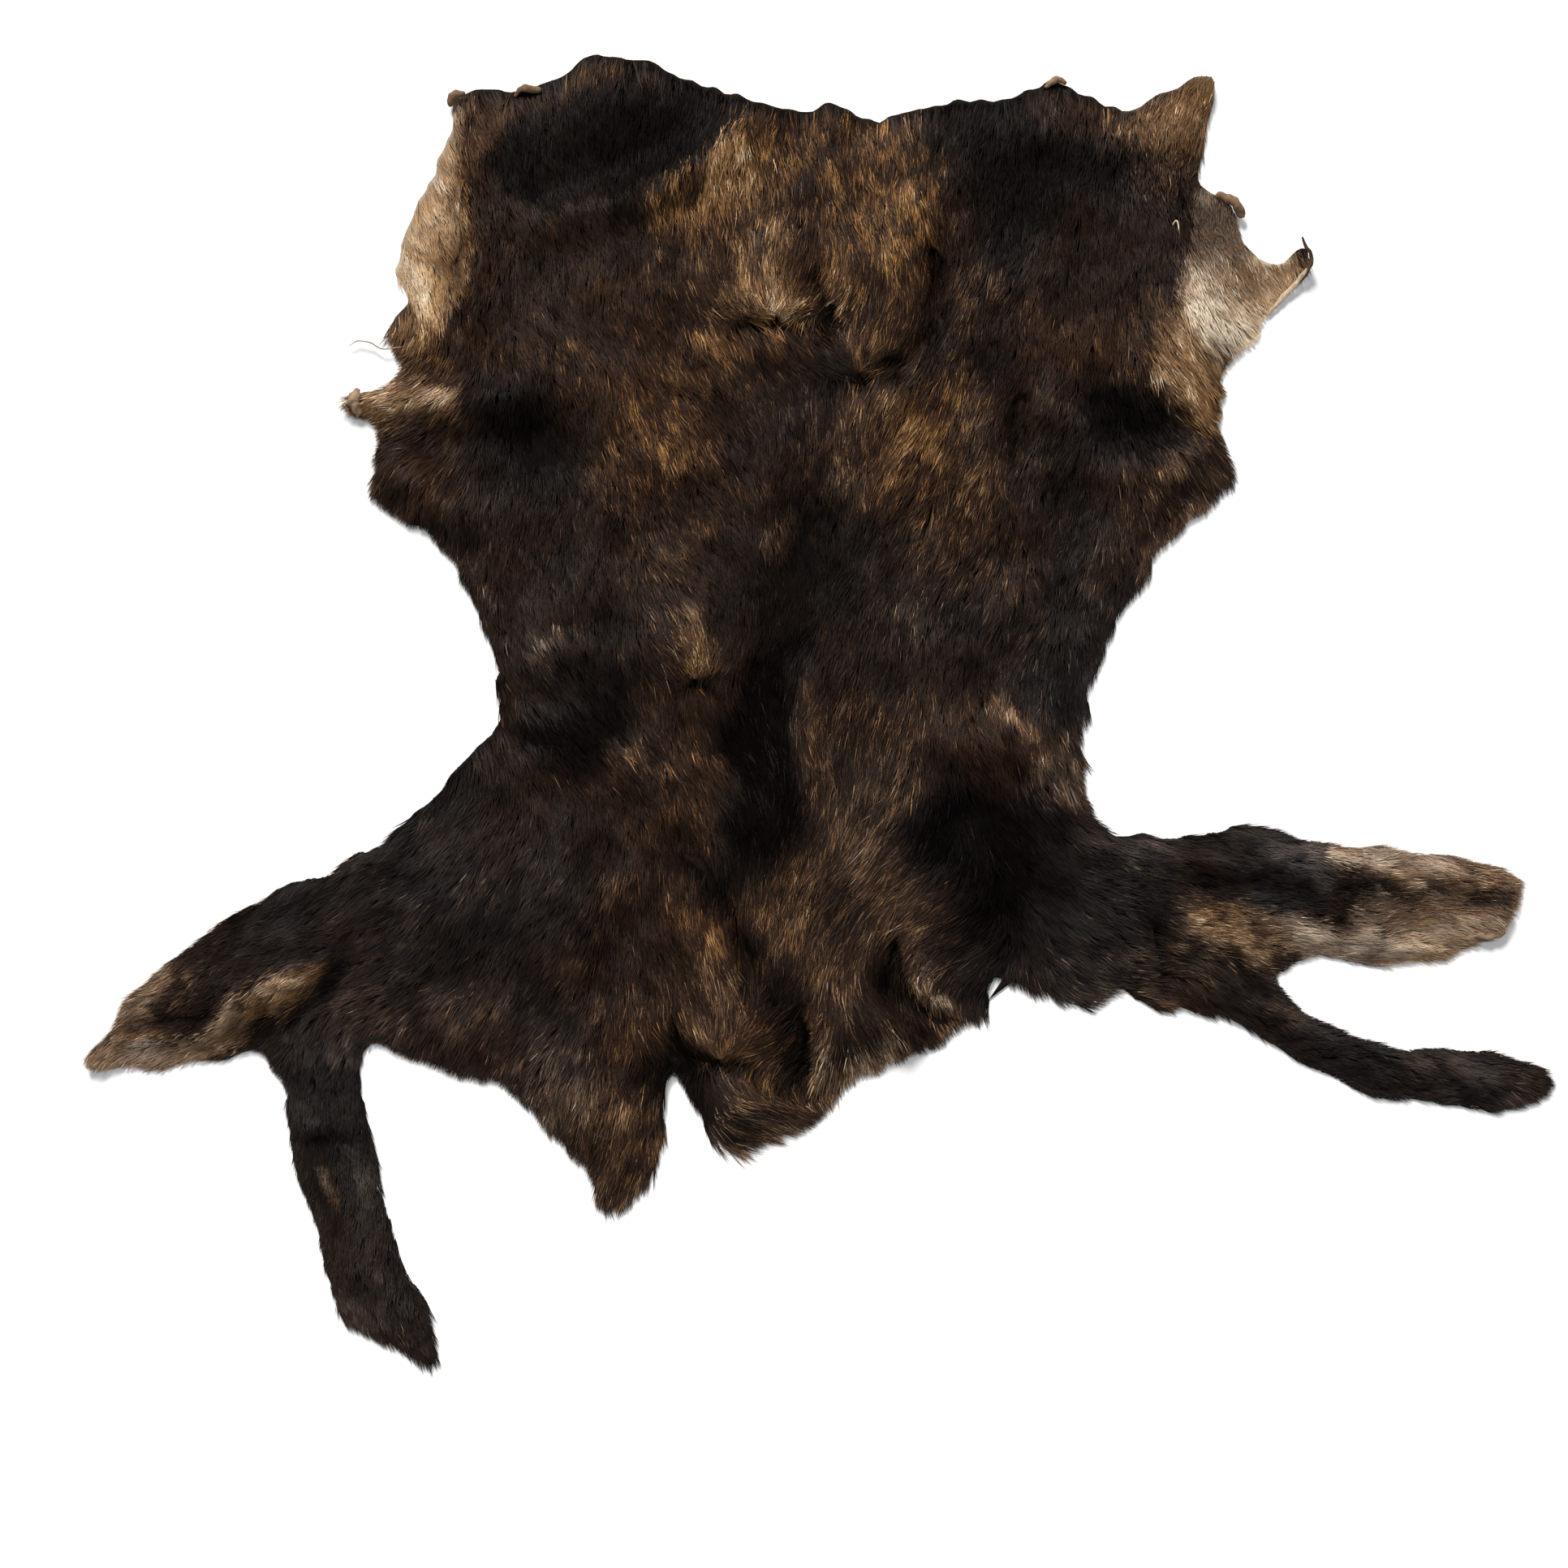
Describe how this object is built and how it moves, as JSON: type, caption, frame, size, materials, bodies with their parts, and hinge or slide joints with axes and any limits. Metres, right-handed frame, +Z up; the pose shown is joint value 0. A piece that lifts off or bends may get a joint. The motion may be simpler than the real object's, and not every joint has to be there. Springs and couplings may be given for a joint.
{
  "type": "moose hide",
  "caption": "Whole hair-on moose hide laid flat on a floor, dark brown with a grizzled back, hind legs spread and pale flaps at the shoulders; used as a rug or wall piece.",
  "frame": {"origin": "middle of the hide's outline, on the floor that it lies on", "axes": "+X across the hide, from the left hind leg to the right one as seen from above, +Y towards the neck, +Z up"},
  "size_m": [2.7194, 2.4602, 0.0474],
  "materials": {
    "hair": "soft dark hair with a low sheen over tanned skin"
  },
  "bodies": {
    "root": {"hide": "hair"}
  },
  "joints": []
}
